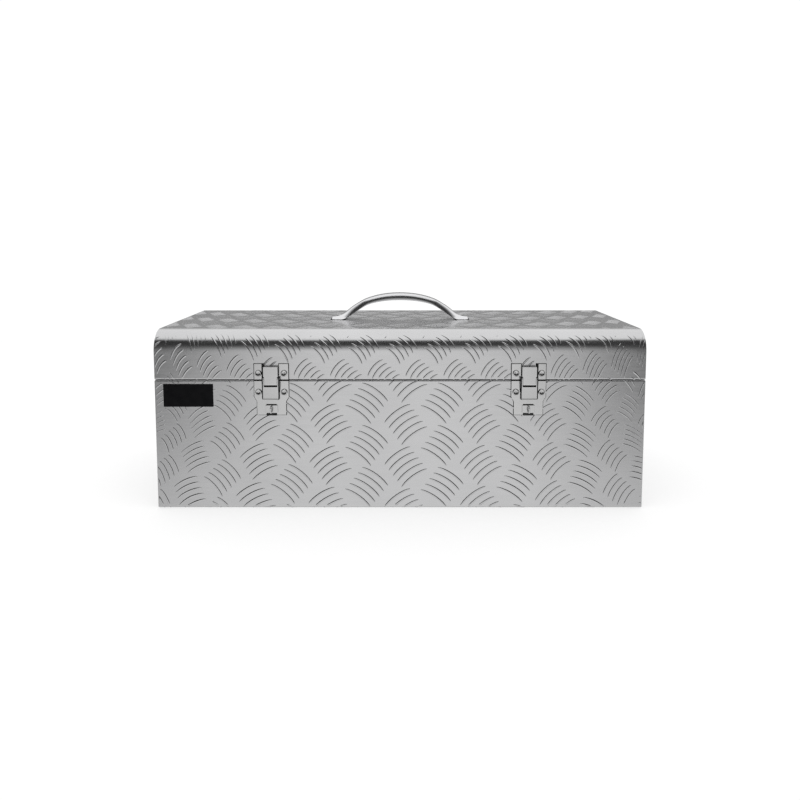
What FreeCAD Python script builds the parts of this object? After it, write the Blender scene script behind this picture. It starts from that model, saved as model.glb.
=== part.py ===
import FreeCAD, Part
import os
import Sketcher

os.makedirs("parts", exist_ok=True)
document = FreeCAD.newDocument("tread_plate_case")
sheet = document.addObject("Spreadsheet::Sheet", "sizes")

# The case, in millimetres: X runs along it, the front looks to -Y, and it stands on Z = 0
given = {
    "case_length": 575.0,
    "case_depth": 245.0,
    "case_height": 211.5,
    "lid_height": 57.8,
    "seam_gap": 1.4,
    "sheet_gauge": 1.5,
    "fold_radius": 2.5,
    "crown_radius": 25.0,
    "rim_width": 12.0,
    "seal_width": 8.0,
    "seal_clearance": 0.1,
    # The long hinge on the back
    "hinge_margin": 14.5,
    "hinge_leaf_gauge": 1.2,
    "hinge_leaf_height": 22.0,
    "hinge_pin_radius": 1.25,
    "running_clearance": 0.05,
    "part_clearance": 0.3,
    "set_clearance": 0.01,
    # The two latches: heights count from the seam, depths from the front wall
    "latch_offset": 150.5,
    "latch_gauge": 1.2,
    "latch_half_width": 20.15,
    "keeper_edge_gap": 0.9,
    "keeper_height": 19.4,
    "keeper_notch_half_width": 8.8,
    "ledge_half_width": 7.5,
    "ledge_top": 15.0,
    "ledge_reach": 5.0,
    "ear_drop": 14.0,
    "plate_shoulder_drop": 19.7,
    "plate_tail_drop": 25.2,
    "plate_drop": 41.1,
    "plate_tail_half_width": 17.0,
    "ear_outer": 10.2,
    "ear_gauge": 1.0,
    "ear_radius": 2.6,
    "pivot_height": 1.8,
    "pivot_depth": 5.0,
    "pivot_radius": 1.2,
    "lever_half_width": 8.9,
    "lever_cheek_gauge": 1.0,
    "lever_end_radius": 2.2,
    "lever_top_drop": 7.0,
    "lever_foot_drop": 22.0,
    "claw_pin_drop": 3.4,
    "claw_pin_radius": 1.15,
    "claw_pin_depth": 4.4,
    "claw_neck_half_width": 7.6,
    "claw_half_width": 8.5,
    "claw_shoulder": 4.8,
    "claw_catch_gap": 0.4,
    "claw_lip_depth": 2.2,
    "bridge_half_width": 7.3,
    "bridge_top_drop": 29.6,
    "bridge_foot_drop": 38.6,
    "bridge_slit": 1.4,
    "eye_gauge": 1.6,
    "eye_reach": 8.6,
    "eye_half_height": 4.2,
    "eye_drop": 34.2,
    "eye_hole_radius": 2.5,
    "eye_hole_depth": 5.4,
    # The bow handle and the plain plate on the front
    "handle_half_span": 90.5,
    "handle_rise": 35.0,
    "handle_width": 28.0,
    "handle_foot_gauge": 3.6,
    "nameplate_length": 58.3,
    "nameplate_height": 27.1,
    "nameplate_gauge": 0.8,
    "nameplate_margin": 10.1,
    "nameplate_drop": 18.2,
}


class Size:
    # A number together with the sheet formula that gives it
    def __init__(self, value, text):
        self.value = value
        self.text = text

    def __add__(self, other):
        other = sized(other)
        return Size(self.value + other.value, "(%s + %s)" % (self.text, other.text))

    def __sub__(self, other):
        other = sized(other)
        return Size(self.value - other.value, "(%s - %s)" % (self.text, other.text))

    def __rsub__(self, other):
        return sized(other) - self

    def __mul__(self, other):
        other = sized(other)
        return Size(self.value * other.value, "(%s * %s)" % (self.text, other.text))

    def __truediv__(self, other):
        other = sized(other)
        return Size(self.value / other.value, "(%s / %s)" % (self.text, other.text))

    def __neg__(self):
        return Size(-self.value, "(0 - %s)" % self.text)

    def root(self):
        return Size(self.value ** 0.5, "sqrt(%s)" % self.text)


def sized(number):
    if isinstance(number, Size):
        return number
    return Size(float(number), "%.6f" % number)


for row, (name, number) in enumerate(given.items(), start=1):
    sheet.set("A%d" % row, name)
    sheet.set("B%d" % row, str(number))
    sheet.setAlias("B%d" % row, name)
document.recompute()
size = {name: Size(number, "sizes." + name) for name, number in given.items()}

half_length = size["case_length"] / 2
half_depth = size["case_depth"] / 2
gauge = size["sheet_gauge"]
seam_height = size["case_height"] - size["lid_height"]
rim_top = seam_height - size["seam_gap"] / 2
lid_foot = seam_height + size["seam_gap"] / 2
front_wall = -half_depth
latch_gauge = size["latch_gauge"]
nought = sized(0)


def bind(target, path, amount):
    # Ties one property of an object to its sheet formula
    target.setExpression(path, sized(amount).text)


def place(target, x, y, z):
    for axis, amount in zip("xyz", (x, y, z)):
        bind(target, "Placement.Base." + axis, amount)


def new_body(label):
    body = document.addObject("PartDesign::Body", label)
    body.Label = label
    return body


def origin_part(body, role):
    for feature in body.Origin.OriginFeatures:
        if feature.Role == role:
            return feature
    raise ValueError(role)


def pin_point(sketch, geometry, position, point):
    # Holds one point of a sketch at two sheet formulas
    for kind, amount in zip(("DistanceX", "DistanceY"), point):
        amount = sized(amount)
        number = sketch.addConstraint(
            Sketcher.Constraint(kind, -1, 1, geometry, position, amount.value)
        )
        sketch.setExpression("Constraints[%d]" % number, amount.text)


def pin_radius(sketch, geometry, radius):
    number = sketch.addConstraint(Sketcher.Constraint("Radius", geometry, radius.value))
    sketch.setExpression("Constraints[%d]" % number, radius.text)


def vector(point):
    return FreeCAD.Vector(sized(point[0]).value, sized(point[1]).value, 0)


def add_circle(sketch, centre, radius):
    radius = sized(radius)
    circle = Part.Circle(vector(centre), FreeCAD.Vector(0, 0, 1), radius.value)
    geometry = sketch.addGeometry(circle)
    pin_point(sketch, geometry, 3, centre)
    pin_radius(sketch, geometry, radius)


def add_outline(sketch, steps):
    # A closed run of corners: a step is a point, or a point reached by an arc with a
    # radius, a centre to start from and a turn of 1 (left) or -1 (right)
    ends = []
    for index, step in enumerate(steps):
        start = steps[index - 1][:2]
        finish = step[:2]
        if len(step) == 2:
            line = Part.LineSegment(vector(start), vector(finish))
            ends.append((sketch.addGeometry(line), 1, 2))
            continue
        radius, centre, turn = step[2:]
        middle = vector(centre)
        circle = Part.Circle(middle, FreeCAD.Vector(0, 0, 1), radius.value)
        first, last = (start, finish) if turn > 0 else (finish, start)
        arc = Part.ArcOfCircle(
            circle, circle.parameter(vector(first)), circle.parameter(vector(last))
        )
        geometry = sketch.addGeometry(arc)
        pin_radius(sketch, geometry, radius)
        ends.append((geometry, 1, 2) if turn > 0 else (geometry, 2, 1))
    for index, (geometry, begin, end) in enumerate(ends):
        after, after_begin, _ = ends[(index + 1) % len(ends)]
        sketch.addConstraint(
            Sketcher.Constraint("Coincident", geometry, end, after, after_begin)
        )
        pin_point(sketch, geometry, end, steps[index][:2])


def draw(body, plane, outlines=(), circles=(), lift=None):
    # A sketch on one of the body's own planes, lifted along the plane's normal
    sketch = body.newObject("Sketcher::SketchObject", body.Name + "_sketch")
    sketch.AttachmentSupport = (origin_part(body, plane), [""])
    sketch.MapMode = "FlatFace"
    if lift is not None:
        bind(sketch, "AttachmentOffset.Base.z", lift)
    for steps in outlines:
        add_outline(sketch, steps)
    for centre, radius in circles:
        add_circle(sketch, centre, radius)
    return sketch


def pad(body, sketch, length, symmetric=False, reverse=False):
    feature = body.newObject("PartDesign::Pad", body.Name + "_pad")
    feature.Profile = sketch
    bind(feature, "Length", length)
    if symmetric:
        feature.SideType = "Symmetric"
    feature.Reversed = reverse
    body.Tip = feature
    return feature


def cut(body, sketch, length):
    # A cut that runs the same way to both sides of its sketch
    feature = body.newObject("PartDesign::Pocket", body.Name + "_cut")
    feature.Profile = sketch
    feature.SideType = "Symmetric"
    bind(feature, "Length", length)
    body.Tip = feature
    return feature


def along_x(body, original, length, count):
    feature = body.newObject("PartDesign::LinearPattern", body.Name + "_row")
    feature.Originals = [original]
    feature.Direction = (origin_part(body, "X_Axis"), [""])
    feature.Occurrences = count
    bind(feature, "Length", length)
    body.Tip = feature
    return feature


def rectangle(left, bottom, right, top):
    return [(left, bottom), (right, bottom), (right, top), (left, top)]


def shift(point, direction, distance):
    moved = []
    for amount, sign in zip(point, direction):
        if sign > 0:
            amount = amount + distance
        elif sign < 0:
            amount = amount - distance
        moved.append(amount)
    return tuple(moved)


def folded(corners, radii, turn):
    # The section of a folded sheet: its outer face runs through the corners, every
    # bend is square, and the inside lies to the left (turn 1) or right (turn -1)
    headings = []
    for start, finish in zip(corners, corners[1:]):
        run = finish[0].value - start[0].value
        rise = finish[1].value - start[1].value
        headings.append(((run > 0) - (run < 0), (rise > 0) - (rise < 0)))
    insides = [(-turn * v, turn * u) for u, v in headings]
    outer = [corners[0]]
    inner = [shift(corners[0], insides[0], gauge)]
    for index, radius in enumerate(radii):
        corner = corners[index + 1]
        back = tuple(-part for part in headings[index])
        start = shift(corner, back, radius)
        finish = shift(corner, headings[index + 1], radius)
        centre = shift(start, insides[index], radius)
        outer.append(start)
        outer.append(finish + (radius, centre, turn))
        inner.append(shift(start, insides[index], gauge))
        inner.append(
            shift(finish, insides[index + 1], gauge) + (radius - gauge, centre, turn)
        )
    outer.append(corners[-1])
    inner.append(shift(corners[-1], insides[-1], gauge))
    steps = list(outer)
    steps.append(inner[-1])
    for index in range(len(inner) - 1, 0, -1):
        step = inner[index - 1][:2]
        if len(inner[index]) > 2:
            radius, centre, _ = inner[index][2:]
            step = step + (radius, centre, -turn)
        steps.append(step)
    return steps


# Folded wrap of the base: front, bottom and back, with a rim turned in at the top
front_tip = front_wall + size["rim_width"]
back_tip = half_depth - size["rim_width"]
base_wrap = new_body("base_wrap")
base_corners = [
    (front_tip, rim_top),
    (front_wall, rim_top),
    (front_wall, nought),
    (half_depth, nought),
    (half_depth, rim_top),
    (back_tip, rim_top),
]
base_section = folded(base_corners, [size["fold_radius"]] * 4, 1)
pad(base_wrap, draw(base_wrap, "YZ_Plane", [base_section]), size["case_length"], symmetric=True)

# Folded wrap of the lid: skirts and top round two wide crowns
lid_wrap = new_body("lid_wrap")
lid_corners = [
    (front_tip, lid_foot),
    (front_wall, lid_foot),
    (front_wall, size["case_height"]),
    (half_depth, size["case_height"]),
    (half_depth, lid_foot),
    (back_tip, lid_foot),
]
lid_radii = [size["fold_radius"], size["crown_radius"], size["crown_radius"], size["fold_radius"]]
lid_section = folded(lid_corners, lid_radii, -1)
pad(lid_wrap, draw(lid_wrap, "YZ_Plane", [lid_section]), size["case_length"], symmetric=True)


def end_panel(label, side, steps, flange_foot):
    # An end panel set flush inside a wrap, with its rim turned inward
    body = new_body(label)
    pad(body, draw(body, "YZ_Plane", [steps]), gauge)
    flange = rectangle(front_tip, flange_foot, back_tip, flange_foot + gauge)
    pad(body, draw(body, "YZ_Plane", [flange]), size["rim_width"])
    body.Placement.Rotation = FreeCAD.Rotation(FreeCAD.Vector(0, 0, 1), 0 if side < 0 else 180)
    place(body, half_length if side > 0 else -half_length, nought, nought)
    return body


inner_wall = half_depth - gauge
inner_bend = size["fold_radius"] - gauge
bend_height = size["fold_radius"]
bend_run = half_depth - size["fold_radius"]
base_end = [
    (bend_run, gauge),
    (inner_wall, bend_height, inner_bend, (bend_run, bend_height), 1),
    (inner_wall, rim_top - size["fold_radius"]),
    (bend_run, rim_top - gauge, inner_bend, (bend_run, rim_top - size["fold_radius"]), 1),
    (back_tip, rim_top - gauge),
    (back_tip, rim_top),
    (front_tip, rim_top),
    (front_tip, rim_top - gauge),
    (-bend_run, rim_top - gauge),
    (-inner_wall, rim_top - size["fold_radius"], inner_bend, (-bend_run, rim_top - size["fold_radius"]), 1),
    (-inner_wall, bend_height),
    (-bend_run, gauge, inner_bend, (-bend_run, bend_height), 1),
]
inner_crown = size["crown_radius"] - gauge
crown_run = half_depth - size["crown_radius"]
crown_foot = size["case_height"] - size["crown_radius"]
lid_ceiling = size["case_height"] - gauge
lid_bend = lid_foot + size["fold_radius"]
lid_end = [
    (front_tip, lid_foot),
    (back_tip, lid_foot),
    (back_tip, lid_foot + gauge),
    (bend_run, lid_foot + gauge),
    (inner_wall, lid_bend, inner_bend, (bend_run, lid_bend), 1),
    (inner_wall, crown_foot),
    (crown_run, lid_ceiling, inner_crown, (crown_run, crown_foot), 1),
    (-crown_run, lid_ceiling),
    (-inner_wall, crown_foot, inner_crown, (-crown_run, crown_foot), 1),
    (-inner_wall, lid_bend),
    (-bend_run, lid_foot + gauge, inner_bend, (-bend_run, lid_bend), 1),
    (front_tip, lid_foot + gauge),
]
for side, hand in ((-1, "left"), (1, "right")):
    end_panel("base_end_" + hand, side, base_end, rim_top - gauge)
    end_panel("lid_end_" + hand, side, lid_end, lid_foot)

# Foam seal stuck under the lid's rim
seal = new_body("lid_seal")
seal_out_x = half_length - gauge * 2
seal_out_y = half_depth - gauge * 2
seal_in_x = seal_out_x - size["seal_width"]
seal_in_y = seal_out_y - size["seal_width"]
seal_rings = [
    rectangle(-seal_out_x, -seal_out_y, seal_out_x, seal_out_y),
    rectangle(-seal_in_x, -seal_in_y, seal_in_x, seal_in_y),
]
pad(seal, draw(seal, "XY_Plane", seal_rings), size["seam_gap"] - size["seal_clearance"])
place(seal, nought, nought, rim_top + size["seal_clearance"])

# Long hinge: two leaves with knuckles turn about in a row on one pin
knuckle_count = 13
knuckle_bore = size["hinge_pin_radius"] + size["running_clearance"]
knuckle_radius = knuckle_bore + size["hinge_leaf_gauge"]
hinge_length = size["case_length"] - size["hinge_margin"] * 2
knuckle_pitch = hinge_length / knuckle_count
hinge_y = half_depth + knuckle_radius
leaf_edge = knuckle_radius + size["part_clearance"]
roll_inset = knuckle_radius - size["hinge_leaf_gauge"]
roll_drop = (knuckle_radius * knuckle_radius - roll_inset * roll_inset).root()


def hinge_leaf(label, up, first, count):
    # One leaf, below the pin (up -1) or above it (up 1), with every second knuckle
    def height(amount):
        return amount if up > 0 else -amount

    body = new_body(label)
    span = [height(leaf_edge), height(size["hinge_leaf_height"])]
    span.sort(key=lambda item: item.value)
    outline = rectangle(-knuckle_radius, span[0], -roll_inset, span[1])
    pad(body, draw(body, "YZ_Plane", [outline]), hinge_length)
    roll = [
        (-knuckle_radius, height(leaf_edge)),
        (-knuckle_radius, nought),
        (-roll_inset, height(roll_drop), knuckle_radius, (nought, nought), up),
        (-roll_inset, height(leaf_edge)),
    ]
    start = knuckle_pitch * first + size["part_clearance"] / 2
    knuckle = draw(body, "YZ_Plane", [roll], [((nought, nought), knuckle_bore)], start)
    feature = pad(body, knuckle, knuckle_pitch - size["part_clearance"])
    along_x(body, feature, knuckle_pitch * (2 * (count - 1)), count)
    place(body, -hinge_length / 2, hinge_y, seam_height)
    return body


hinge_leaf("hinge_base_leaf", -1, 0, 7)
hinge_leaf("hinge_lid_leaf", 1, 1, 6)
pin = document.addObject("Part::Cylinder", "hinge_pin")
pin.Label = "hinge_pin"
bind(pin, "Radius", size["hinge_pin_radius"])
bind(pin, "Height", hinge_length)
pin.Placement.Rotation = FreeCAD.Rotation(FreeCAD.Vector(0, 1, 0), 90)
place(pin, -hinge_length / 2, hinge_y, seam_height)


def drill(body, centre, radius):
    # A hole along X, right through a body
    cut(body, draw(body, "YZ_Plane", circles=[(centre, radius)]), size["case_length"])


def deep(amount):
    # A depth in front of the front wall, which looks to -Y
    return -amount


def low(amount):
    return -amount


leaf_face = size["claw_pin_depth"] + size["claw_pin_radius"] + size["running_clearance"] + latch_gauge
leaf_back = leaf_face - latch_gauge
claw_bore = size["claw_pin_radius"] + size["running_clearance"]
claw_eye = claw_bore + latch_gauge
claw_inset = claw_eye - latch_gauge
claw_rise = (claw_eye * claw_eye - claw_inset * claw_inset).root()
pivot_y = deep(size["pivot_depth"])
pivot_z = size["pivot_height"]
claw_y = deep(size["claw_pin_depth"])
claw_z = low(size["claw_pin_drop"])


def keeper(hand, x):
    # Keeper on the lid: a notched plate with a ledge that the claw pulls down on
    body = new_body("keeper_" + hand)
    wide = size["latch_half_width"]
    notch = size["keeper_notch_half_width"]
    outline = [
        (-wide, size["keeper_edge_gap"]),
        (wide, size["keeper_edge_gap"]),
        (wide, size["keeper_height"]),
        (notch, size["keeper_height"]),
        (notch, size["ledge_top"]),
        (-notch, size["ledge_top"]),
        (-notch, size["keeper_height"]),
        (-wide, size["keeper_height"]),
    ]
    pad(body, draw(body, "XZ_Plane", [outline]), latch_gauge)
    reach = size["ledge_half_width"]
    ledge = rectangle(-reach, size["ledge_top"] - latch_gauge, reach, size["ledge_top"])
    pad(body, draw(body, "XZ_Plane", [ledge]), size["ledge_reach"])
    place(body, x, front_wall, seam_height)


def latch_plate(hand, x):
    # Plate on the base: two ears for the lever and a pressed bridge for the padlock eye
    body = new_body("latch_plate_" + hand)
    ear_y = size["pivot_depth"]
    round_ear = size["ear_radius"]
    ear = [
        (nought, low(size["ear_drop"])),
        (deep(latch_gauge), low(size["ear_drop"])),
        (deep(ear_y + round_ear * 0.35), low(size["claw_pin_drop"] * 2)),
        (deep(ear_y + round_ear), pivot_z),
        (pivot_y, pivot_z + round_ear, round_ear, (pivot_y, pivot_z), -1),
        (deep(ear_y - round_ear), pivot_z, round_ear, (pivot_y, pivot_z), -1),
        (deep(latch_gauge), low(latch_gauge)),
        (nought, low(latch_gauge)),
    ]
    pad(body, draw(body, "YZ_Plane", [ear]), size["ear_outer"] * 2, symmetric=True)
    between = size["ear_outer"] - size["ear_gauge"]
    room = rectangle(deep(ear_y * 2), low(size["plate_drop"]), ear_y, size["keeper_height"])
    cut(body, draw(body, "YZ_Plane", [room]), between * 2)
    drill(body, (pivot_y, pivot_z), size["pivot_radius"])
    wide = size["latch_half_width"]
    tail = size["plate_tail_half_width"]
    outline = [
        (-tail, low(size["plate_drop"])),
        (tail, low(size["plate_drop"])),
        (tail, low(size["plate_tail_drop"])),
        (wide, low(size["plate_shoulder_drop"])),
        (wide, low(size["keeper_edge_gap"])),
        (-wide, low(size["keeper_edge_gap"])),
        (-wide, low(size["plate_shoulder_drop"])),
        (-tail, low(size["plate_tail_drop"])),
    ]
    slit = size["bridge_slit"]
    step = size["bridge_half_width"] - latch_gauge
    window_foot = low(size["bridge_foot_drop"] + slit)
    window_top = low(size["bridge_top_drop"] - slit)
    window = rectangle(-step, window_foot, step, window_top)
    pad(body, draw(body, "XZ_Plane", [outline, window]), latch_gauge)
    reach = size["bridge_half_width"]
    bridge = rectangle(-reach, low(size["bridge_foot_drop"]), reach, low(size["bridge_top_drop"]))
    pad(body, draw(body, "XZ_Plane", [bridge], lift=latch_gauge), latch_gauge)
    place(body, x, front_wall, seam_height)


def padlock_eye(hand, x):
    body = new_body("padlock_eye_" + hand)
    bottom = low(size["eye_drop"] + size["eye_half_height"])
    top = low(size["eye_drop"] - size["eye_half_height"])
    nose = size["eye_half_height"] * 0.5
    front = size["eye_reach"]
    tab = [
        (deep(latch_gauge * 2), bottom),
        (deep(latch_gauge * 2), top),
        (deep(front - nose), top),
        (deep(front), top - nose, nose, (deep(front - nose), top - nose), 1),
        (deep(front), bottom + nose),
        (deep(front - nose), bottom, nose, (deep(front - nose), bottom + nose), 1),
    ]
    hole = ((deep(size["eye_hole_depth"]), low(size["eye_drop"])), size["eye_hole_radius"])
    pad(body, draw(body, "YZ_Plane", [tab], [hole]), size["eye_gauge"], symmetric=True)
    place(body, x, front_wall, seam_height)


def lever(hand, x):
    # Lever: a channel whose cheeks reach up to the pivots, with a lip for the finger
    body = new_body("lever_" + hand)
    end = size["lever_end_radius"]
    back_edge = size["pivot_depth"] - end
    foot = low(size["lever_foot_drop"])
    knee = foot + latch_gauge * 2
    cheek = [
        (deep(back_edge), low(size["lever_top_drop"])),
        (deep(leaf_back), knee),
        (deep(leaf_face), knee),
        (deep(leaf_face), low(size["lever_top_drop"])),
        (deep(size["pivot_depth"] + end), pivot_z),
        (pivot_y, pivot_z + end, end, (pivot_y, pivot_z), -1),
        (deep(back_edge), pivot_z, end, (pivot_y, pivot_z), -1),
    ]
    pad(body, draw(body, "YZ_Plane", [cheek]), size["lever_half_width"] * 2, symmetric=True)
    between = size["lever_half_width"] - size["lever_cheek_gauge"]
    room = rectangle(deep(leaf_face * 2), low(size["plate_drop"]), leaf_face, size["keeper_height"])
    cut(body, draw(body, "YZ_Plane", [room]), between * 2)
    pivot_hole = size["pivot_radius"] + size["running_clearance"]
    drill(body, (pivot_y, pivot_z), pivot_hole)
    drill(body, (claw_y, claw_z), size["claw_pin_radius"])
    face = [
        (deep(leaf_back), low(size["lever_top_drop"])),
        (deep(leaf_back), knee - latch_gauge * 0.4),
        (deep(leaf_face + latch_gauge * 0.6), foot - latch_gauge * 0.4),
        (deep(leaf_face + latch_gauge * 1.4), foot + latch_gauge * 0.4),
        (deep(leaf_face), knee),
        (deep(leaf_face), low(size["lever_top_drop"])),
    ]
    pad(body, draw(body, "YZ_Plane", [face]), size["lever_half_width"] * 2, symmetric=True)
    place(body, x, front_wall, seam_height)


def claw(hand, x):
    # Claw: rolled round its pin below, its lip turned in over the keeper's ledge above
    body = new_body("claw_" + hand)
    lip_foot = size["ledge_top"] + size["claw_catch_gap"]
    lip_top = lip_foot + latch_gauge
    section = [
        (deep(leaf_face), lip_top),
        (deep(size["claw_lip_depth"]), lip_top),
        (deep(size["claw_lip_depth"]), lip_foot),
        (deep(leaf_back), lip_foot),
        (deep(leaf_back), claw_z + claw_rise),
        (deep(leaf_face), claw_z, claw_eye, (claw_y, claw_z), -1),
    ]
    bore = ((claw_y, claw_z), claw_bore)
    pad(body, draw(body, "YZ_Plane", [section], [bore]), size["claw_half_width"] * 2, symmetric=True)
    neck = size["claw_neck_half_width"]
    wide = size["claw_half_width"] * 2
    deep_down = low(size["plate_drop"])
    waist = [
        rectangle(-wide, deep_down, -neck, size["claw_shoulder"]),
        rectangle(neck, deep_down, wide, size["claw_shoulder"]),
    ]
    cut(body, draw(body, "XZ_Plane", waist), leaf_face * 4)
    place(body, x, front_wall, seam_height)


def claw_pin(hand, x):
    item = document.addObject("Part::Cylinder", "claw_pin_" + hand)
    item.Label = "claw_pin_" + hand
    bind(item, "Radius", size["claw_pin_radius"] - size["set_clearance"])
    bind(item, "Height", size["lever_half_width"] * 2)
    item.Placement.Rotation = FreeCAD.Rotation(FreeCAD.Vector(0, 1, 0), 90)
    claw_pin_z = seam_height - size["claw_pin_drop"]
    place(item, x - size["lever_half_width"], front_wall - size["claw_pin_depth"], claw_pin_z)


def lever_pivots(hand, x):
    # Two stubs, one set in each ear
    body = new_body("lever_pivots_" + hand)
    stub = [((nought, nought), size["pivot_radius"] - size["set_clearance"])]
    inner = size["lever_half_width"] - size["lever_cheek_gauge"]
    length = size["ear_outer"] - inner
    for end, reverse in ((inner, False), (-inner, True)):
        pad(body, draw(body, "YZ_Plane", circles=stub, lift=end), length, reverse=reverse)
    place(body, x, front_wall - size["pivot_depth"], seam_height + pivot_z)


for hand, x in (("left", -size["latch_offset"]), ("right", size["latch_offset"])):
    keeper(hand, x)
    latch_plate(hand, x)
    padlock_eye(hand, x)
    lever(hand, x)
    claw(hand, x)
    claw_pin(hand, x)
    lever_pivots(hand, x)

# Bow handle: one crowned strap that flattens into two feet. Each station gives its place
# along the half span, its height, slope, thickness and width
foot_gauge = size["handle_foot_gauge"]
foot_part = foot_gauge / 2
grip_rise = size["handle_rise"]
grip_part = foot_gauge * 1.25
stations = [
    (0.00, grip_rise - grip_part, 0.0, grip_part * 2, 1.00),
    (0.42, grip_rise * 0.729, 24.0, foot_gauge * 2.15, 1.00),
    (0.588, grip_rise * 0.514, 38.0, foot_gauge * 2.17, 1.01),
    (0.696, grip_rise * 0.330, 37.0, foot_gauge * 2.25, 1.03),
    (0.795, grip_rise * 0.128, 27.0, foot_gauge * 1.70, 1.06),
    (0.885, foot_part, 0.0, foot_gauge, 1.07),
    (1.00, foot_part, 0.0, foot_gauge, 0.95),
]
handle = new_body("handle")
sections = []
course = [(-1, item) for item in reversed(stations[1:])] + [(1, item) for item in stations]
for side, (share, height, slope, thickness, breadth) in course:
    half_wide = size["handle_width"] * breadth / 2
    half_thick = thickness / 2
    shoulder = half_thick - thickness * 0.28
    table = half_wide * 0.45
    ring = [
        (half_wide, -half_thick),
        (half_wide, shoulder),
        (table, half_thick),
        (-table, half_thick),
        (-half_wide, shoulder),
        (-half_wide, -half_thick),
    ]
    sketch = draw(handle, "YZ_Plane", [ring], lift=size["handle_half_span"] * (share * side))
    sketch.AttachmentOffset.Rotation = FreeCAD.Rotation(FreeCAD.Vector(1, 0, 0), slope * side)
    bind(sketch, "AttachmentOffset.Base.y", height)
    sections.append(sketch)
strap = handle.newObject("PartDesign::AdditiveLoft", "handle_strap")
strap.Profile = sections[0]
strap.Sections = sections[1:]
handle.Tip = strap
under_foot = rectangle(-size["case_length"], -grip_rise, size["case_length"], nought)
cut(handle, draw(handle, "XZ_Plane", [under_foot]), size["case_depth"])
place(handle, nought, nought, size["case_height"])

# Plain plate low on the left of the front, under the seam
nameplate = new_body("nameplate")
plate_half = size["nameplate_length"] / 2
plate_rise = size["nameplate_height"] / 2
plate_face = rectangle(-plate_half, -plate_rise, plate_half, plate_rise)
pad(nameplate, draw(nameplate, "XZ_Plane", [plate_face]), size["nameplate_gauge"])
nameplate_x = size["nameplate_margin"] + plate_half - half_length
place(nameplate, nameplate_x, front_wall, seam_height - size["nameplate_drop"])

document.recompute()
made = [item for item in document.Objects if item.TypeId in ("PartDesign::Body", "Part::Cylinder")]
for item in document.Objects:
    if "Invalid" in item.State or "Error" in item.State:
        raise ValueError("%s did not build" % item.Label)
for item in made:
    if item.Shape.isNull() or not item.Shape.isValid():
        raise ValueError("%s has no sound shape" % item.Label)
    item.Shape.exportStep("parts/%s.step" % item.Label)
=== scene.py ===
import math

import bmesh
import bpy
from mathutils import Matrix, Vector


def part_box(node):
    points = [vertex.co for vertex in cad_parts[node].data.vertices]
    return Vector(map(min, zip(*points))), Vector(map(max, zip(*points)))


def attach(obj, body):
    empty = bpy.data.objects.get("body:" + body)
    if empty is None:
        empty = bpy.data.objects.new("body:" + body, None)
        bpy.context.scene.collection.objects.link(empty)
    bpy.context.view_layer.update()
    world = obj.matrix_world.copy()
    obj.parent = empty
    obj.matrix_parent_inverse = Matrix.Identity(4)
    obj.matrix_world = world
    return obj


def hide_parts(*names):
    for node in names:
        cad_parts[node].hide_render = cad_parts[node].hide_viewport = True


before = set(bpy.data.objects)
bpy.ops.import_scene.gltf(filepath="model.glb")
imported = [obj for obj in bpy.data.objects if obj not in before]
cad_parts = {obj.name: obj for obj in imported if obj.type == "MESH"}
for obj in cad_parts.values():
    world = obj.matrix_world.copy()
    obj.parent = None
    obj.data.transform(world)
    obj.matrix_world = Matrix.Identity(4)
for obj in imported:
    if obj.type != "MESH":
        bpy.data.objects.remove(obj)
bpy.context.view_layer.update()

scene = bpy.context.scene
scene.view_settings.view_transform = "Standard"

baseLow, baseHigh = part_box("base_wrap")
lidLow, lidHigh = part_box("lid_wrap")
halfLength = baseHigh[0]
halfDepth = baseHigh[1]
seamHeight = (baseHigh[2] + lidLow[2]) / 2
sheetFolds = {"gauge": 0.0013, "fold": 0.00145, "crown": 0.025, "rim": 0.012, "nearEnd": 0.001,
              "closer": 0.0003}  # the rims close up on the seam by this much
print("frame loaded, case", round(halfLength * 2, 4), round(halfDepth * 2, 4), round(lidHigh[2], 4))


# small helpers for meshes
sharpAngles = {"pads": 30, "shell": 40, "bars": 80, "handle": 60, "rivets": 22}  # steeper edges stay sharp


def newPiece(name, mesh, material, body, sharpAngle=None):
    piece = bpy.data.objects.new(name, mesh)
    scene.collection.objects.link(piece)
    mesh.materials.clear()
    mesh.materials.append(material)
    for face in mesh.polygons:
        face.use_smooth = True
        face.material_index = 0
    if sharpAngle:
        mesh.set_sharp_from_angle(angle=math.radians(sharpAngle))
    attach(piece, body)
    return piece


def bakeModifiers(piece):  # the evaluated mesh becomes the piece's own
    graph = bpy.context.evaluated_depsgraph_get()
    mesh = bpy.data.meshes.new_from_object(piece.evaluated_get(graph))
    piece.modifiers.clear()
    piece.data = mesh
    return mesh


def meshFrom(bm, name):
    mesh = bpy.data.meshes.new(name)
    bm.to_mesh(mesh)
    bm.free()
    return mesh


def bridgeRings(bm, before, after):  # quads between two closed rings
    for index in range(len(before)):
        following = (index + 1) % len(before)
        bm.faces.new((before[index], before[following], after[following], after[index]))


def capRing(bm, tip, ring):  # a fan of triangles to one point
    for index in range(len(ring)):
        bm.faces.new((tip, ring[index], ring[(index + 1) % len(ring)]))


def closePad(bm, lower, upper):  # two flat outlines and the walls between them
    bm.faces.new(lower)
    bm.faces.new(upper)
    bridgeRings(bm, lower, upper)


def cornerArc(across, up, radius, firstAngle, steps=6):  # a quarter turn round a centre
    points = []
    for step in range(steps + 1):
        turn = math.radians(firstAngle + 90 * step / steps)
        points.append((across + radius * math.cos(turn), up + radius * math.sin(turn)))
    return points


softening = {"merge": 2e-6, "flatAngle": 0.6, "edgeAngle": 40, "faceWeight": 100}


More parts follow.
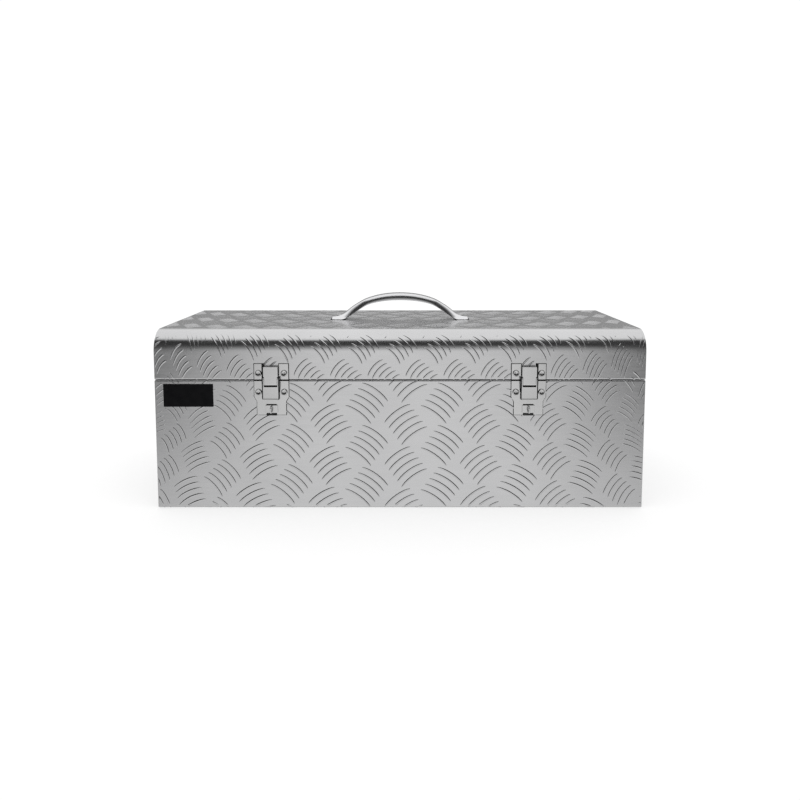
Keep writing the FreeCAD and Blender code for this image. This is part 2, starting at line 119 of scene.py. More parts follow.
def softenNode(nodeName, material, body, width, segments=2, reshape=None):
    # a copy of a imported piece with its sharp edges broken
    bm = bmesh.new()
    bm.from_mesh(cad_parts[nodeName].data)
    bmesh.ops.remove_doubles(bm, verts=bm.verts[:], dist=softening["merge"])
    flatAngle = math.radians(softening["flatAngle"])
    bmesh.ops.dissolve_limit(bm, angle_limit=flatAngle, verts=bm.verts[:], edges=bm.edges[:])
    if reshape:
        for vert in bm.verts:
            vert.co = reshape(vert.co)
    mesh = meshFrom(bm, nodeName + "Soft")
    piece = bpy.data.objects.new(nodeName + "Soft", mesh)
    scene.collection.objects.link(piece)
    bevel = piece.modifiers.new("edgeBreak", "BEVEL")
    bevel.width = width
    bevel.segments = segments
    bevel.limit_method = "ANGLE"
    bevel.angle_limit = math.radians(softening["edgeAngle"])
    bevel.use_clamp_overlap = True
    bakeModifiers(piece)
    for face in piece.data.polygons:
        face.use_smooth = True
    flatten = piece.modifiers.new("flatFaces", "WEIGHTED_NORMAL")  # broad faces keep their own direction
    flatten.weight = softening["faceWeight"]
    mesh = bakeModifiers(piece)
    bpy.data.objects.remove(piece)
    piece = newPiece(nodeName + "Soft", mesh, material, body)
    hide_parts(nodeName)
    return piece


# sheet paths: a run of corners with a radius at each inner one
pathSteps = {"shortRun": 0.004, "nearBend": 0.0006, "largeBend": 0.01, "largeArc": 28, "smallArc": 5,
             "merge": 1e-6}


def sheetPath(corners, radii):
    # returns (distance, y, z, normalY, normalZ) along the outer face
    points = []
    travelled = 0.0
    position = Vector(corners[0])
    for index in range(1, len(corners)):
        corner = Vector(corners[index])
        heading = (corner - Vector(corners[index - 1])).normalized()
        outward = Vector((heading.y, -heading.x))
        radius = radii[index - 1] if index <= len(radii) else 0.0
        runEnd = corner - heading * radius
        run = (runEnd - position).length
        shares = [0.0, 1.0]
        if run > pathSteps["shortRun"]:  # a long run also has a place close to each bend
            nearBend = pathSteps["nearBend"] / run
            shares = [0.0, nearBend, 1 - nearBend, 1.0]
        for share in shares:
            spot = position.lerp(runEnd, share)
            points.append((travelled + run * share, spot.x, spot.y, outward.x, outward.y))
        travelled += run
        position = runEnd
        if radius:
            after = (Vector(corners[index + 1]) - corner).normalized()
            centre = runEnd - outward * radius
            nextOut = Vector((after.y, -after.x))
            steps = pathSteps["largeArc"] if radius > pathSteps["largeBend"] else pathSteps["smallArc"]
            for step in range(1, steps):
                turn = math.pi / 2 * step / steps
                direction = outward * math.cos(turn) + nextOut * math.sin(turn)
                spot = centre + direction * radius
                points.append((travelled + radius * turn, spot.x, spot.y, direction.x, direction.y))
            travelled += radius * math.pi / 2
            position = centre + nextOut * radius
    return points


def pathSpot(path, distance):  # place and outward direction at a distance along the path
    for before, after in zip(path, path[1:]):
        if distance <= after[0] and after[0] > before[0]:
            share = (distance - before[0]) / (after[0] - before[0])
            _, y, z, outY, outZ = [a + (b - a) * share for a, b in zip(before, after)]
            out = Vector((outY, outZ)).normalized()
            return y, z, out.x, out.y
    return path[-1][1:]


gauge = sheetFolds["gauge"]
fold = sheetFolds["fold"]
crown = sheetFolds["crown"]
rimTip = halfDepth - sheetFolds["rim"]
lidFoot = lidLow[2] - sheetFolds["closer"]
baseRim = baseHigh[2] + sheetFolds["closer"]
lidCorners = [(rimTip, lidFoot), (halfDepth, lidFoot), (halfDepth, lidHigh[2])]
lidCorners += [(-halfDepth, lidHigh[2]), (-halfDepth, lidFoot), (-rimTip, lidFoot)]
lidPath = sheetPath(lidCorners, [fold, crown, crown, fold])
baseCorners = [(-rimTip, baseRim), (-halfDepth, baseRim), (-halfDepth, baseLow[2])]
baseCorners += [(halfDepth, baseLow[2]), (halfDepth, baseRim), (rimTip, baseRim)]
basePath = sheetPath(baseCorners, [fold] * 4)
print("sheet lengths", round(lidPath[-1][0], 4), round(basePath[-1][0], 4))


# finishes

def newFinish(name, colour, metallic, roughness):
    finish = bpy.data.materials.new(name)
    finish.use_nodes = True
    shader = finish.node_tree.nodes["Principled BSDF"]
    shader.inputs["Base Color"].default_value = (*colour, 1)
    shader.inputs["Metallic"].default_value = metallic
    shader.inputs["Roughness"].default_value = roughness
    return finish, finish.node_tree, shader


def patternNoise(tree, scale, stretch, detail=4.0, roughness=0.55):
    # noise on Object coordinates, stretched along the grain
    place = tree.nodes.new("ShaderNodeTexCoord")
    mapping = tree.nodes.new("ShaderNodeMapping")
    mapping.inputs["Scale"].default_value = stretch
    noise = tree.nodes.new("ShaderNodeTexNoise")
    noise.inputs["Scale"].default_value = scale
    noise.inputs["Detail"].default_value = detail
    noise.inputs["Roughness"].default_value = roughness
    tree.links.new(place.outputs["Object"], mapping.inputs["Vector"])
    tree.links.new(mapping.outputs["Vector"], noise.inputs["Vector"])
    return noise.outputs["Fac"]


def spread(tree, source, low, high, fromLow=0.3, fromHigh=0.7):
    remap = tree.nodes.new("ShaderNodeMapRange")
    remap.inputs["From Min"].default_value = fromLow
    remap.inputs["From Max"].default_value = fromHigh
    remap.inputs["To Min"].default_value = low
    remap.inputs["To Max"].default_value = high
    tree.links.new(source, remap.inputs["Value"])
    return remap.outputs["Result"]


def tint(tree, source, first, second, fromLow=0.3, fromHigh=0.7):
    ramp = tree.nodes.new("ShaderNodeValToRGB")
    ramp.color_ramp.elements[0].position = fromLow
    ramp.color_ramp.elements[0].color = (*first, 1)
    ramp.color_ramp.elements[1].position = fromHigh
    ramp.color_ramp.elements[1].color = (*second, 1)
    tree.links.new(source, ramp.inputs["Fac"])
    return ramp.outputs["Color"]


def emboss(tree, shader, source, strength, distance):
    bump = tree.nodes.new("ShaderNodeBump")
    bump.inputs["Strength"].default_value = strength
    bump.inputs["Distance"].default_value = distance
    tree.links.new(source, bump.inputs["Height"])
    tree.links.new(bump.outputs["Normal"], shader.inputs["Normal"])


def surfaceFinish(name, look):  # tone, polish and relief are each a noise: scale, stretch, detail
    finish, tree, shader = newFinish(name, look["light"], look["metal"], look["rough"][1])
    tone = patternNoise(tree, *look["tone"])
    tree.links.new(tint(tree, tone, look["dull"], look["light"]), shader.inputs["Base Color"])
    if "polish" in look:
        polish = patternNoise(tree, *look["polish"])
        tree.links.new(spread(tree, polish, *look["rough"]), shader.inputs["Roughness"])
    if "relief" in look:
        emboss(tree, shader, patternNoise(tree, *look["relief"]), *look["bump"])
    if "specular" in look:
        shader.inputs["Specular IOR Level"].default_value = look["specular"]
    return finish


evenly = (1.0, 1.0, 1.0)  # a noise with no grain
treadLook = {"light": (0.565, 0.565, 0.57), "dull": (0.525, 0.525, 0.53), "rough": (0.17, 0.23), "metal": 1.0,
             "tone": (9, evenly), "polish": (90, (0.25, 3.0, 3.0)),
             "relief": (320, (0.3, 1.0, 1.0)), "bump": (0.06, 0.0004)}
topBarLook = {"light": (0.49, 0.49, 0.495), "dull": (0.44, 0.44, 0.445), "rough": (0.22, 0.30), "metal": 1.0,
            "tone": (90, evenly), "polish": (90, evenly),
            "relief": (320, (0.3, 1.0, 1.0)), "bump": (0.06, 0.0004)}
millLook = {"light": (0.76, 0.76, 0.765), "dull": (0.66, 0.66, 0.665), "rough": (0.42, 0.56), "metal": 0.9,
            "tone": (140, (0.08, 2.0, 2.0)), "polish": (140, (0.08, 2.0, 2.0)),
            "relief": (140, (0.08, 2.0, 2.0)), "bump": (0.05, 0.0002)}
latchLook = {"light": (0.62, 0.62, 0.62), "dull": (0.54, 0.54, 0.54), "rough": (0.16, 0.26), "metal": 1.0,
             "tone": (60, evenly), "polish": (60, evenly),
             "relief": (700, (1.0, 1.0, 0.2)), "bump": (0.05, 0.0002)}
hingeLook = {"light": (0.72, 0.72, 0.72), "dull": (0.58, 0.58, 0.585), "rough": (0.22, 0.36), "metal": 1.0,
             "tone": (200, (0.06, 1.0, 1.0)), "polish": (200, (0.06, 1.0, 1.0)),
             "relief": (200, (0.06, 1.0, 1.0)), "bump": (0.05, 0.0002)}
chromeLook = {"light": (0.70, 0.70, 0.71), "dull": (0.64, 0.64, 0.65), "rough": (0.16, 0.22), "metal": 1.0,
              "tone": (40, (0.3, 1.0, 1.0)), "polish": (40, (0.3, 1.0, 1.0))}
foamLook = {"light": (0.13, 0.13, 0.135), "dull": (0.07, 0.07, 0.073), "rough": (0.9, 0.9), "metal": 0.0,
            "tone": (1400, evenly, 2.0), "relief": (1400, evenly, 2.0), "bump": (0.5, 0.0004)}
blackPlateAndShadeLook = {"light": (0.0035, 0.0035, 0.004), "dull": (0.0015, 0.0015, 0.002), "rough": (0.22, 0.36),
             "metal": 0.0, "specular": 0.08, "tone": (120, evenly), "polish": (120, evenly),
             "relief": (900, evenly), "bump": (0.08, 0.0002)}
rubberAndShadeLook = {"light": (0.012, 0.012, 0.012), "dull": (0.005, 0.005, 0.005), "rough": (0.7, 0.7),
              "metal": 0.0, "specular": 0.2, "tone": (800, evenly),
              "relief": (800, evenly), "bump": (0.2, 0.0003)}

treadAlu = surfaceFinish("treadAluminium", treadLook)
treadTop = surfaceFinish("treadTop", topBarLook)  # bars on the top
millAlu = surfaceFinish("millAluminium", millLook)
latchSteel = surfaceFinish("latchSteel", latchLook)
hingeSteel = surfaceFinish("hingeSteel", hingeLook)
handleChrome = surfaceFinish("handleChrome", chromeLook)
sealFoam = surfaceFinish("sealFoam", foamLook)
# black for the nameplate, and painted shade on the latch ears
blackPlateAndShade = surfaceFinish("blackPlateAndShade", blackPlateAndShadeLook)
# black rubber for the handle pads, and painted shade at the latches
rubberAndShade = surfaceFinish("rubberAndShade", rubberAndShadeLook)
print("finishes ready")


def millInside(piece, middle):  # faces that look into the case keep the plain mill finish
    mesh = piece.data
    mesh.materials.append(millAlu)
    for face in mesh.polygons:
        if face.normal.dot(face.center - Vector(middle)) < 0:
            face.material_index = 1


# folded shells of the base and the lid

def foldedShell(name, path, body, node):
    ring = [(y, z) for _, y, z, _, _ in path]
    ring += [(y - ny * gauge, z - nz * gauge) for _, y, z, ny, nz in reversed(path)]
    nearEnd = halfLength - sheetFolds["nearEnd"]
    stations = [-halfLength, -nearEnd, nearEnd, halfLength]
    bm = bmesh.new()
    rows = [[bm.verts.new((x, y, z)) for y, z in ring] for x in stations]
    for before, after in zip(rows, rows[1:]):
        bridgeRings(bm, before, after)
    for row in (rows[0], rows[-1]):  # the cut edges of the sheet
        for index in range(len(path) - 1):
            other = len(ring) - 1 - index
            bm.faces.new((row[index], row[index + 1], row[other - 1], row[other]))
    bmesh.ops.remove_doubles(bm, verts=bm.verts[:], dist=pathSteps["merge"])
    bmesh.ops.recalc_face_normals(bm, faces=bm.faces[:])
    piece = newPiece(name, meshFrom(bm, name), treadAlu, body, sharpAngles["shell"])
    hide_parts(node)
    return piece


baseMiddle = (0, 0, (baseLow[2] + baseHigh[2]) / 2)
lidMiddle = (0, 0, (lidLow[2] + lidHigh[2]) / 2)
millInside(foldedShell("baseShell", basePath, "base", "base_wrap"), baseMiddle)
millInside(foldedShell("lidShell", lidPath, "lid", "lid_wrap"), lidMiddle)
print("shells folded")


# tread bars: one lens-shaped bar, set in fives by nodes, then laid on the sheet
barShape = {"places": (-0.97, -0.86, -0.62, -0.32, 0.0, 0.32, 0.62, 0.86, 0.97), "taper": 6,
            "flank": 0.55, "shoulder": 0.56, "sunk": 0.0001}


def treadBar(name, chord, rise, width, height):
    bm = bmesh.new()
    flank = barShape["flank"]
    sunk = -barShape["sunk"]
    rings = []
    for along in barShape["places"]:
        slim = (1 - along ** barShape["taper"]) ** 0.5
        x = chord / 2 * along
        y = rise * (0.5 - along * along)
        half = width / 2 * slim
        top = height * slim
        shoulder = top * barShape["shoulder"]
        section = [(-1.0, sunk), (-flank, shoulder), (0.0, top), (flank, shoulder), (1.0, sunk)]
        rings.append([bm.verts.new((x, y + half * share, z)) for share, z in section])
    tips = [bm.verts.new((side * chord / 2, -rise / 2, sunk)) for side in (-1, 1)]
    for before, after in zip(rings, rings[1:]):
        bridgeRings(bm, before, after)
    capRing(bm, tips[0], rings[0])
    capRing(bm, tips[1], rings[-1])
    bmesh.ops.recalc_face_normals(bm, faces=bm.faces[:])
    bar = bpy.data.objects.new(name, meshFrom(bm, name))
    scene.collection.objects.link(bar)
    return bar


def treeWith(name, sockets):
    tree = bpy.data.node_groups.new(name, "GeometryNodeTree")
    tree.interface.new_socket("Geometry", in_out="OUTPUT", socket_type="NodeSocketGeometry")
    for label, kind in sockets:
        tree.interface.new_socket(label, in_out="INPUT", socket_type="NodeSocket" + kind)
    return tree, tree.nodes.new("NodeGroupInput"), tree.nodes.new("NodeGroupOutput")


def feed(tree, socket, value):  # a number is set on the socket, anything else is linked
    if isinstance(value, (int, float)):
        socket.default_value = value
    else:
        tree.links.new(value, socket)


def maths(tree, operation, first, second):
    node = tree.nodes.new("ShaderNodeMath")
    node.operation = operation
    for socket, value in zip(node.inputs, (first, second)):
        feed(tree, socket, value)
    return node.outputs[0]


def triple(tree, x=None, y=None, z=None):
    node = tree.nodes.new("ShaderNodeCombineXYZ")
    for socket, value in zip(node.inputs, (x, y, z)):
        if value is not None:
            tree.links.new(value, socket)
    return node.outputs[0]


def treadFieldTree():
    sockets = [("Bar", "Object"), ("Finish", "Material")]
    sockets += [(label, "Int") for label in ("Columns", "Rows", "Bars")]
    sockets += [(label, "Float") for label in ("Across", "Along", "Step", "Tilt", "Middle", "Twist")]
    tree, given, result = treeWith("treadField", sockets)
    link = tree.links.new
    values = given.outputs
    bar = tree.nodes.new("GeometryNodeObjectInfo")
    link(values["Bar"], bar.inputs["Object"])
    line = tree.nodes.new("GeometryNodeMeshLine")
    link(values["Bars"], line.inputs["Count"])
    reach = maths(tree, "MULTIPLY", maths(tree, "SUBTRACT", values["Bars"], 1), values["Step"])
    link(triple(tree, y=maths(tree, "MULTIPLY", reach, -0.5)), line.inputs["Start Location"])
    link(triple(tree, y=values["Step"]), line.inputs["Offset"])
    group = tree.nodes.new("GeometryNodeInstanceOnPoints")
    link(line.outputs["Mesh"], group.inputs["Points"])
    link(bar.outputs["Geometry"], group.inputs["Instance"])
    grid = tree.nodes.new("GeometryNodeMeshGrid")
    columnReach = maths(tree, "MULTIPLY", maths(tree, "SUBTRACT", values["Columns"], 1), values["Across"])
    rowReach = maths(tree, "MULTIPLY", maths(tree, "SUBTRACT", values["Rows"], 1), values["Along"])
    link(columnReach, grid.inputs["Size X"])
    link(rowReach, grid.inputs["Size Y"])
    link(values["Columns"], grid.inputs["Vertices X"])
    link(values["Rows"], grid.inputs["Vertices Y"])
    spot = tree.nodes.new("GeometryNodeInputPosition")
    split = tree.nodes.new("ShaderNodeSeparateXYZ")
    link(spot.outputs["Position"], split.inputs["Vector"])
    sideways = maths(tree, "ADD", split.outputs["X"], values["Middle"])
    cubed = maths(tree, "POWER", maths(tree, "ABSOLUTE", sideways, 0), 3)
    twist = maths(tree, "MULTIPLY", cubed, values["Twist"])  # groups turn more toward the ends
    twist = maths(tree, "MULTIPLY", twist, maths(tree, "SIGN", sideways, 0))
    rising = tree.nodes.new("GeometryNodeInstanceOnPoints")
    link(grid.outputs["Mesh"], rising.inputs["Points"])
    link(group.outputs["Instances"], rising.inputs["Instance"])
    link(triple(tree, z=maths(tree, "ADD", values["Tilt"], twist)), rising.inputs["Rotation"])
    between = tree.nodes.new("GeometryNodeTransform")
    link(grid.outputs["Mesh"], between.inputs["Geometry"])
    halfAcross = maths(tree, "MULTIPLY", values["Across"], 0.5)
    halfAlong = maths(tree, "MULTIPLY", values["Along"], 0.5)
    link(triple(tree, halfAcross, halfAlong), between.inputs["Translation"])
    falling = tree.nodes.new("GeometryNodeInstanceOnPoints")
    link(between.outputs["Geometry"], falling.inputs["Points"])
    link(group.outputs["Instances"], falling.inputs["Instance"])
    link(triple(tree, z=maths(tree, "SUBTRACT", twist, values["Tilt"])), falling.inputs["Rotation"])
    both = tree.nodes.new("GeometryNodeJoinGeometry")
    link(rising.outputs["Instances"], both.inputs["Geometry"])
    link(falling.outputs["Instances"], both.inputs["Geometry"])
    real = tree.nodes.new("GeometryNodeRealizeInstances")
    link(both.outputs["Geometry"], real.inputs["Geometry"])
    finish = tree.nodes.new("GeometryNodeSetMaterial")
    link(real.outputs["Geometry"], finish.inputs["Geometry"])
    link(values["Finish"], finish.inputs["Material"])
    link(finish.outputs["Geometry"], result.inputs["Geometry"])
    return tree


def growMesh(tree, name, values):  # runs a tree once and keeps its mesh
    holder = bpy.data.objects.new(name, bpy.data.meshes.new(name))
    scene.collection.objects.link(holder)
    modifier = holder.modifiers.new("grow", "NODES")
    modifier.node_group = tree
    for item in tree.interface.items_tree:
        if item.in_out == "INPUT":
            modifier[item.identifier] = values[item.name]
    mesh = bakeModifiers(holder)
    bpy.data.objects.remove(holder)
    return mesh


fieldLimits = {"spare": 1.4, "drawn": 0.4, "bent": 0.3,  # width laid out, and where drawing and bending end
               "cut": 1e-7}


def trimToOutline(bm, outline):  # keeps what lies inside a convex outline, cut ends closed
    for start, end in zip(outline, outline[1:] + outline[:1]):
        edge = Vector((end[0] - start[0], end[1] - start[1], 0))
        outward = Vector((edge.y, -edge.x, 0))
        geometry = bm.verts[:] + bm.edges[:] + bm.faces[:]
        spot = Vector((start[0], start[1], 0))
        cut = bmesh.ops.bisect_plane(bm, geom=geometry, dist=fieldLimits["cut"], plane_co=spot,
                                     plane_no=outward, clear_outer=True)
        rim = [item for item in cut["geom_cut"] if isinstance(item, bmesh.types.BMEdge)]
        bmesh.ops.holes_fill(bm, edges=rim, sides=0)


def bentPlace(field, across, along):
    drawn = field["draw"] * across ** 3 - field["ease"] * across ** 5  # the pattern closes up to the edges
    if abs(across) < fieldLimits["drawn"]:
        across -= drawn
    sideways = min(abs(across), fieldLimits["bent"])
    flare = field["flare"] * max(-along - field["flareTop"], 0) * sideways ** 2  # columns spread to the foot
    fan = field["fan"] * min(max(along, field["fanLow"]), field["fanHigh"])
    kick = field["kick"] * min(max(1 + along / field["kickFade"], 0), 1)
    bent = along + fan * sideways ** 2 + kick * sideways ** 5  # rows bend at the ends
    return across + math.copysign(flare, across), bent


def layField(name, field, outline, lay):
    # rows of bars in flat (across, along) places, trimmed, then carried onto the sheet by lay
    bar = treadBar(name + "Bar", field["chord"], field["rise"], field["width"], field["height"])
    lowX = min(spot[0] for spot in outline) * fieldLimits["spare"]
    highX = max(spot[0] for spot in outline) * fieldLimits["spare"]
    lowV = min(spot[1] for spot in outline)
    highV = max(spot[1] for spot in outline)
    firstColumn = math.floor((lowX - field["startX"]) / field["across"]) - 1
    firstRow = math.floor((lowV - field["startV"]) / field["along"]) - 1
    columns = math.ceil((highX - lowX) / field["across"]) + 3  # a spare one at each side
    rows = math.ceil((highV - lowV) / field["along"]) + 3
    shiftX = field["startX"] + (firstColumn + (columns - 1) / 2) * field["across"]
    shiftV = field["startV"] + (firstRow + (rows - 1) / 2) * field["along"]
    values = {"Bar": bar, "Columns": columns, "Rows": rows, "Bars": field["bars"], "Finish": treadAlu,
              "Across": field["across"], "Along": field["along"], "Step": field["step"],
              "Tilt": math.radians(field["tilt"]), "Middle": shiftX, "Twist": field["twist"]}
    mesh = growMesh(treadField, name, values)
    bpy.data.objects.remove(bar)
    bm = bmesh.new()
    bm.from_mesh(mesh)
    for vert in bm.verts:
        vert.co.x, vert.co.y = bentPlace(field, vert.co.x + shiftX, vert.co.y + shiftV)
    trimToOutline(bm, outline)
    for vert in bm.verts:
        vert.co = lay(vert.co.x, vert.co.y, vert.co.z)
    bmesh.ops.recalc_face_normals(bm, faces=bm.faces[:])
    return bm


def joinFields(name, fields, body):
    whole = bmesh.new()
    for field in fields:
        part = meshFrom(field, name + "Part")
        whole.from_mesh(part)
        bpy.data.meshes.remove(part)
    return newPiece(name, meshFrom(whole, name), treadAlu, body, sharpAngles["bars"])


def boxOutline(lowX, lowV, highX, highV):
    return [(lowX, lowV), (highX, lowV), (highX, highV), (lowX, highV)]


treadField = treadFieldTree()
largeTread = {"across": 0.089, "along": 0.051, "startX": 0.006, "startV": -0.0013, "bars": 5, "step": 0.0084,
              "tilt": 36.5, "chord": 0.038, "rise": 0.003, "width": 0.0027, "height": 0.00056,
              "draw": 1.635, "ease": 1.0, "twist": 6.0, "fan": -2.3, "fanLow": -0.16, "fanHigh": 0.0,
              "flare": 3.1, "flareTop": 0.05, "kick": -9.5, "kickFade": 0.12}
smallTread = {"across": 0.0445, "along": 0.063, "startX": -0.020, "startV": 0.0065, "bars": 5, "step": 0.0066,
              "tilt": 49, "chord": 0.027, "rise": 0.0027, "width": 0.0025, "height": 0.00052,
              "draw": 1.3, "ease": 0.0, "twist": 4.0, "fan": 3.4, "fanLow": 0.0, "fanHigh": 0.06,
              "flare": 0.0, "flareTop": 0.05, "kick": 12.0, "kickFade": 0.12}
treadEdges = {"endMargin": 0.0012, "foldShare": 1.1, "besideHinge": 0.005}
foldTurn = fold * treadEdges["foldShare"]  # how far the bars follow the rim fold

rimRun = halfDepth - fold - rimTip + fold * math.pi / 2  # from the rim's tip to the foot of the wall
lidFrontFoot = lidPath[-1][0] - rimRun
lidBackFoot = rimRun
lidLift = lidFoot + fold - seamHeight
baseFrontFoot = rimRun
baseBackFoot = basePath[-1][0] - rimRun
baseDrop = seamHeight - (baseRim - fold)

crownPress = {"start": 0.72, "end": 1.0, "bend": 0.12, "top": 0.7,  # turns in radians, shares of the height
              "topDepth": 0.0004}
lidRunLength = lidFrontFoot - lidBackFoot
crownFoot = lidHigh[2] - crown - lidFoot - fold


def pressedShare(run):  # bars are pressed nearly flat where the sheet bends over, and a little on the top
    turn = (min(run, lidRunLength - run) - crownFoot) / crown
    if turn > math.pi / 2:
        return crownPress["top"]
    fall = min(max((turn - crownPress["start"]) / (crownPress["end"] - crownPress["start"]), 0), 1)
    return 1 - fall * (1 - crownPress["bend"])


def onLid(x, v, h):  # v is the height above the seam along the sheet, from the front
    y, z, ny, nz = pathSpot(lidPath, lidFrontFoot - (v - lidLift))
    h *= pressedShare(v - lidLift)
    return Vector((x, y + ny * h, z + nz * h))


def onBase(x, v, h):  # v is minus the depth below the seam along the sheet, from the front
    y, z, ny, nz = pathSpot(basePath, baseFrontFoot + (-v - baseDrop))
    return Vector((x, y + ny * h, z + nz * h))


def clearBehind(bm, leafName):  # a hinge leaf lies on plain sheet
    low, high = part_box(leafName)
    reach = high[0] + treadEdges["besideHinge"]
    hidden = []
    for face in bm.faces:
        spots = [vert.co for vert in face.verts]
        if all(spot.y > 0 and abs(spot.x) < reach and low[2] < spot.z < high[2] for spot in spots):
            hidden.append(face)
    bmesh.ops.delete(bm, geom=hidden, context="FACES")
    bmesh.ops.holes_fill(bm, edges=[edge for edge in bm.edges if edge.is_boundary], sides=0)
    bmesh.ops.recalc_face_normals(bm, faces=bm.faces[:])
    return bm


wide = halfLength - treadEdges["endMargin"]
lidOutline = boxOutline(-wide, lidLift - foldTurn, wide, lidLift + lidRunLength + foldTurn)
lidRun = clearBehind(layField("lidRun", smallTread, lidOutline, onLid), "hinge_lid_leaf")
baseRunLength = baseBackFoot - baseFrontFoot
baseOutline = boxOutline(-wide, -(baseDrop + baseRunLength) - foldTurn, wide, -baseDrop + foldTurn)
baseRun = clearBehind(layField("baseRun", largeTread, baseOutline, onBase), "hinge_base_leaf")


def onEnd(side):
    return lambda u, v, h: Vector((side * (halfLength + h), side * u, seamHeight + v))


endEdge = {"inset": 0.0028, "seam": 0.0016}
endDeep = halfDepth - endEdge["inset"]
endFoot = baseLow[2] - seamHeight + endEdge["inset"]
endRound = crown - endEdge["inset"]
roundAcross = endDeep - endRound
roundUp = lidHigh[2] - seamHeight - endEdge["inset"] - endRound
lidEndOutline = [(-endDeep, endEdge["seam"]), (endDeep, endEdge["seam"])]
lidEndOutline += cornerArc(roundAcross, roundUp, endRound, 0) + cornerArc(-roundAcross, roundUp, endRound, 90)
baseEndOutline = boxOutline(-endDeep, endFoot, endDeep, -endEdge["seam"])
lidFields = [lidRun] + [layField("lidEnd", smallTread, lidEndOutline, onEnd(side)) for side in (-1, 1)]
lidTread = joinFields("lidTread", lidFields, "lid")
lidTread.data.materials.append(treadTop)
topBarsFrom = lidHigh[2] - crownPress["topDepth"]  # the bars on the top get a darker, rougher finish
for face in lidTread.data.polygons:
    if face.center.z > topBarsFrom:
        face.material_index = 1
baseFields = [baseRun] + [layField("baseEnd", largeTread, baseEndOutline, onEnd(side)) for side in (-1, 1)]
joinFields("baseTread", baseFields, "base")
print("tread laid")


# end panels, latches, hinge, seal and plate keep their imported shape, with a broken edge
edgeBreaks = {"panel": 0.0004, "latch": 0.0003, "lever": 0.0004,
              "hinge": 0.0003, "seal": 0.0005, "plate": 0.00025}
# painted shade: ear faces beyond these limits take the black finish
earShade = {"depth": 0.0016, "drop": 0.020}  # they stand out past this, and end this far below the seam
leverLip = {"face": 0.0068, "tuck": 0.58}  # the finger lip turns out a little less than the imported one


def tuckLip(spot):
    proud = max(0.0, -halfDepth - leverLip["face"] - spot.y)
    return Vector((spot.x, spot.y + proud * leverLip["tuck"], spot.z))


def shadeEars(plate):  # painted shade: the ears beside the lever take the black finish for the deep gaps beside the claw
    plate.data.materials.append(blackPlateAndShade)
    for face in plate.data.polygons:
        proud = -halfDepth - face.center.y
        if proud > earShade["depth"] and face.center.z > seamHeight - earShade["drop"]:
            face.material_index = len(plate.data.materials) - 1


for side in ("left", "right"):
    for body, middle in (("base", baseMiddle), ("lid", lidMiddle)):
        panel = softenNode(body + "_end_" + side, treadAlu, body, edgeBreaks["panel"])
        millInside(panel, middle)
for side in ("left", "right"):
    shadeEars(softenNode("latch_plate_" + side, latchSteel, "base", edgeBreaks["latch"]))
    softenNode("padlock_eye_" + side, latchSteel, "base", edgeBreaks["latch"])
    softenNode("lever_pivots_" + side, latchSteel, "base", edgeBreaks["latch"])
    softenNode("keeper_" + side, latchSteel, "lid", edgeBreaks["latch"])
    softenNode("lever_" + side, latchSteel, "lever_" + side, edgeBreaks["lever"], 2, tuckLip)
    softenNode("claw_pin_" + side, latchSteel, "lever_" + side, edgeBreaks["latch"])
    softenNode("claw_" + side, latchSteel, "claw_" + side, edgeBreaks["latch"])
softenNode("hinge_base_leaf", hingeSteel, "base", edgeBreaks["hinge"])
softenNode("hinge_pin", hingeSteel, "base", edgeBreaks["hinge"])
softenNode("hinge_lid_leaf", hingeSteel, "lid", edgeBreaks["hinge"])
softenNode("lid_seal", sealFoam, "lid", edgeBreaks["seal"], 3)
softenNode("nameplate", blackPlateAndShade, "base", edgeBreaks["plate"])
print("hardware softened")


# painted shade in black rubber: plate and keeper outlines, a pad behind each lever, claw strips, a lip under
# the eye
shadePads = {"thick": 0.0003, "sunk": 0.0001, "plateHalf": 0.0208, "plateNeck": 0.0176, "neckTop": -0.0198,
           "neckFoot": -0.0254, "plateTop": -0.0003, "plateFoot": -0.0417, "keeperInner": 0.0084,
           "keeperHalf": 0.0208, "keeperFoot": 0.0006, "keeperTop": 0.0199, "padHalf": 0.0104,
           "padFoot": -0.0236, "padTop": -0.0012, "padCorner": 0.0025, "padFace": 0.0012, "padShift": 0.0007,
           "stripInner": 0.0084, "stripNear": 0.0091, "stripFar": 0.0112, "stripFoot": 0.0007,
           "stripTop": 0.0197, "eyeHalf": 0.0063, "eyeFoot": -0.0419, "eyeTop": -0.0402}


def flatPad(bm, outline, centre, depth):  # an outline (across, up) becomes a thin pad on the front
    face = -halfDepth - depth
    back = [bm.verts.new((centre + u, face + shadePads["sunk"], seamHeight + v)) for u, v in outline]
    front = [bm.verts.new((centre + u, face - shadePads["thick"], seamHeight + v)) for u, v in outline]
    closePad(bm, back, front)


def plateOutline():  # a broad plate that narrows to a tail
    half, neck = shadePads["plateHalf"], shadePads["plateNeck"]
    top, foot = shadePads["plateTop"], shadePads["plateFoot"]
    neckTop, neckFoot = shadePads["neckTop"], shadePads["neckFoot"]
    return [(half, top), (-half, top), (-half, neckTop), (-neck, neckFoot),
            (-neck, foot), (neck, foot), (neck, neckFoot), (half, neckTop)]


def padOutline():  # square at the top, with two round corners at the foot
    half, corner = shadePads["padHalf"], shadePads["padCorner"]
    roundAcross = half - corner
    roundUp = shadePads["padFoot"] + corner
    outline = [(half, shadePads["padTop"]), (-half, shadePads["padTop"])]
    outline += cornerArc(-roundAcross, roundUp, corner, 180) + cornerArc(roundAcross, roundUp, corner, 270)
    return outline


